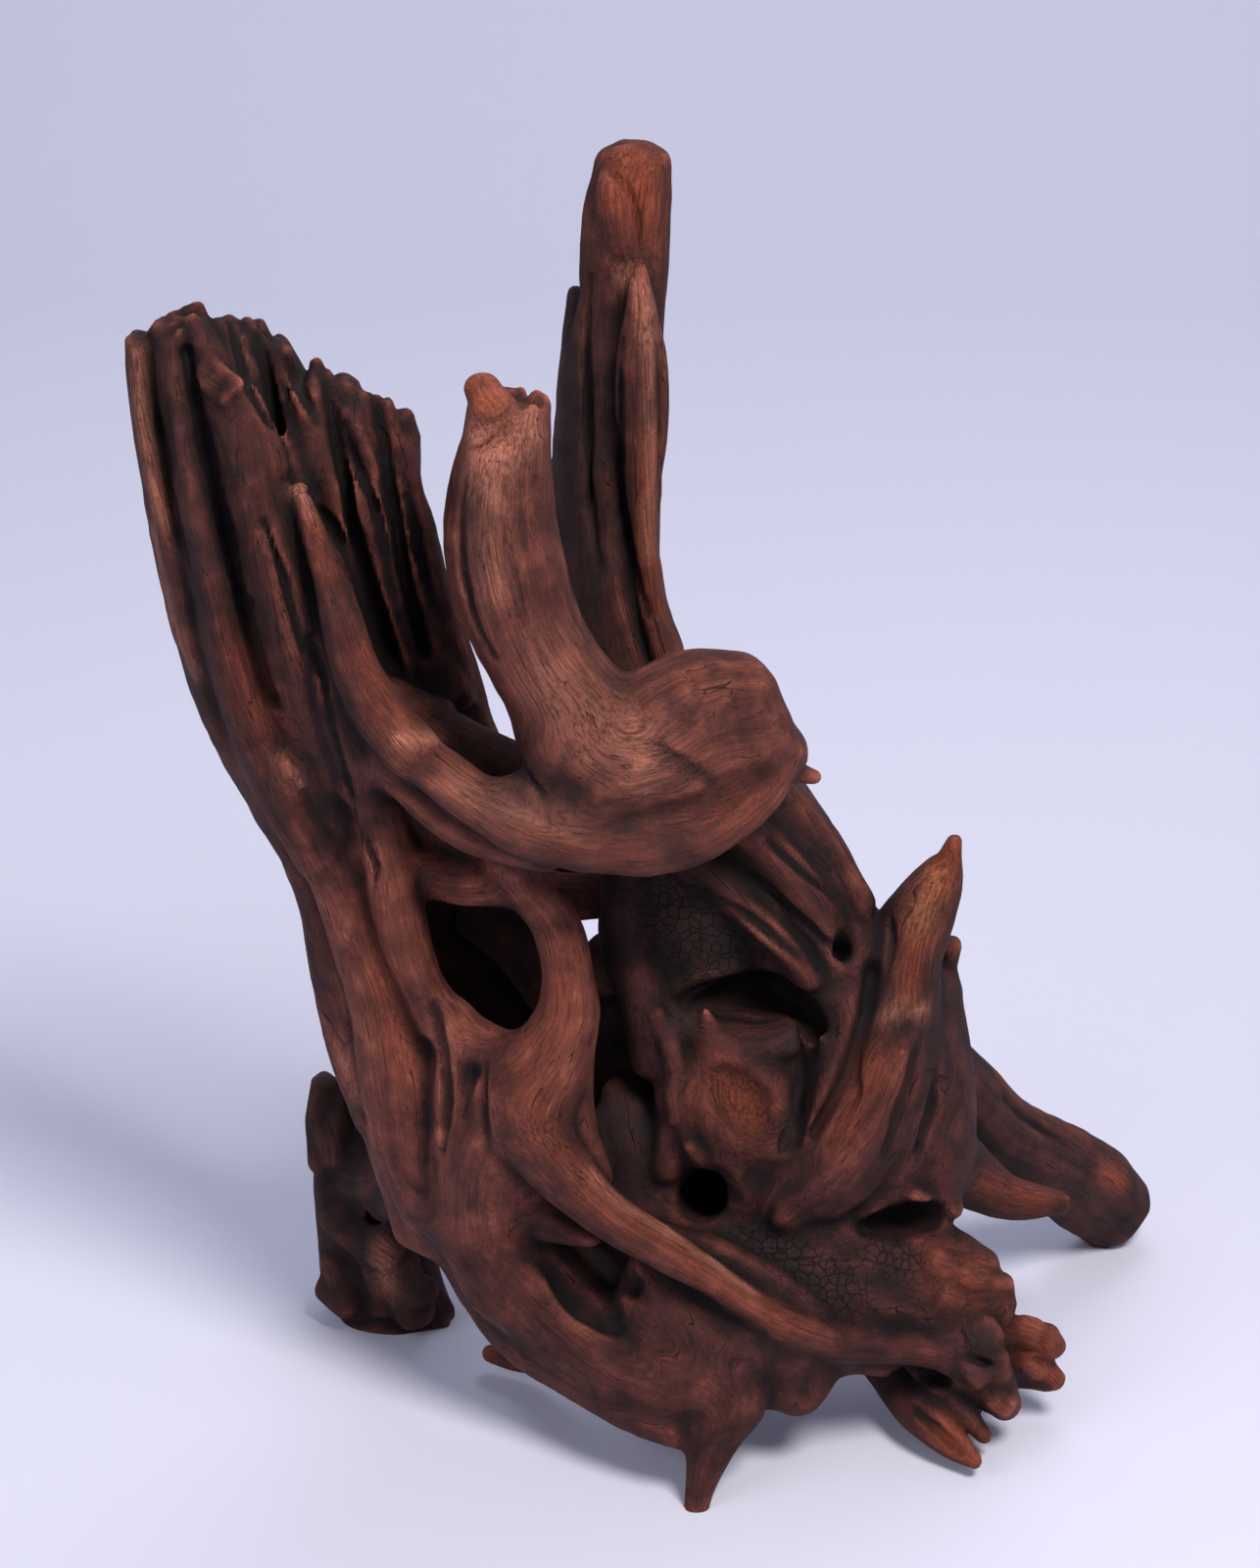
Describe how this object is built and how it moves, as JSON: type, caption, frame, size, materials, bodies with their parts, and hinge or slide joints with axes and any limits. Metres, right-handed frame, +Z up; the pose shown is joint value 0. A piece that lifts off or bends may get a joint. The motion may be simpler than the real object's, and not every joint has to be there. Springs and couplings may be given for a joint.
{
  "type": "aquarium driftwood",
  "caption": "Weathered root driftwood with a splintered slab, an upright post, a hooked limb, an eye hole and branch stubs.",
  "frame": {"origin": "on the floor the wood stands on, under the middle of its bounding box", "axes": "+Z up, +X to the right and -Y towards the viewer of the picture"},
  "size_m": [0.364, 0.1967, 0.449],
  "materials": {
    "wood": "dry weathered wood, matt"
  },
  "bodies": {
    "root": {"driftwood": "wood"}
  },
  "joints": []
}
